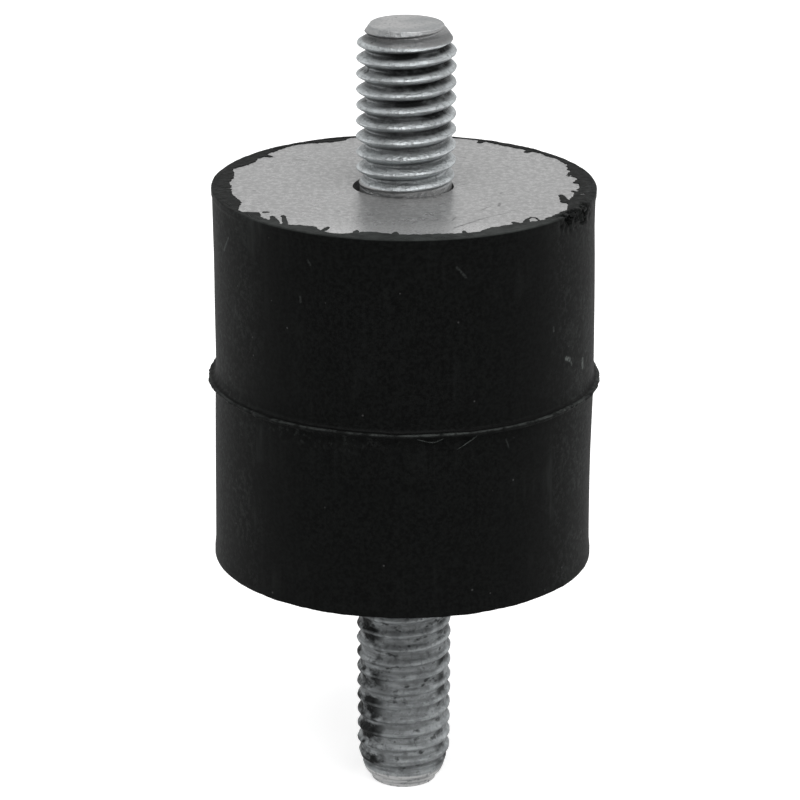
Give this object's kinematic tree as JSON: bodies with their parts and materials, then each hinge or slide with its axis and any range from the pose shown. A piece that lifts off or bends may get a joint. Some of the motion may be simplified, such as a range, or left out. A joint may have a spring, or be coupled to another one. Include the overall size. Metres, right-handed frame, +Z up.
{
  "type": "bobbin vibration mount",
  "caption": "Cylindrical rubber vibration mount with a steel plate moulded into each end and a threaded stud standing out of each plate.",
  "frame": {"origin": "centre of the lower plate's outer face, on the common axis of the studs", "axes": "+Z up the common axis, from the lower stud to the upper stud; +X and +Y are free, because every solid is turned about Z"},
  "size_m": [0.031, 0.031, 0.0634],
  "materials": {
    "rubber": "matt black moulded rubber, slightly dusty",
    "plate_steel": "satin zinc-plated steel, finely specked, light scratches",
    "stud_steel": "zinc-plated rolled thread with dark rubber residue"
  },
  "bodies": {
    "root": {"rubber_body": "rubber", "upper_plate": "plate_steel", "lower_plate": "plate_steel", "upper_stud": "stud_steel", "lower_stud": "stud_steel"}
  },
  "joints": []
}
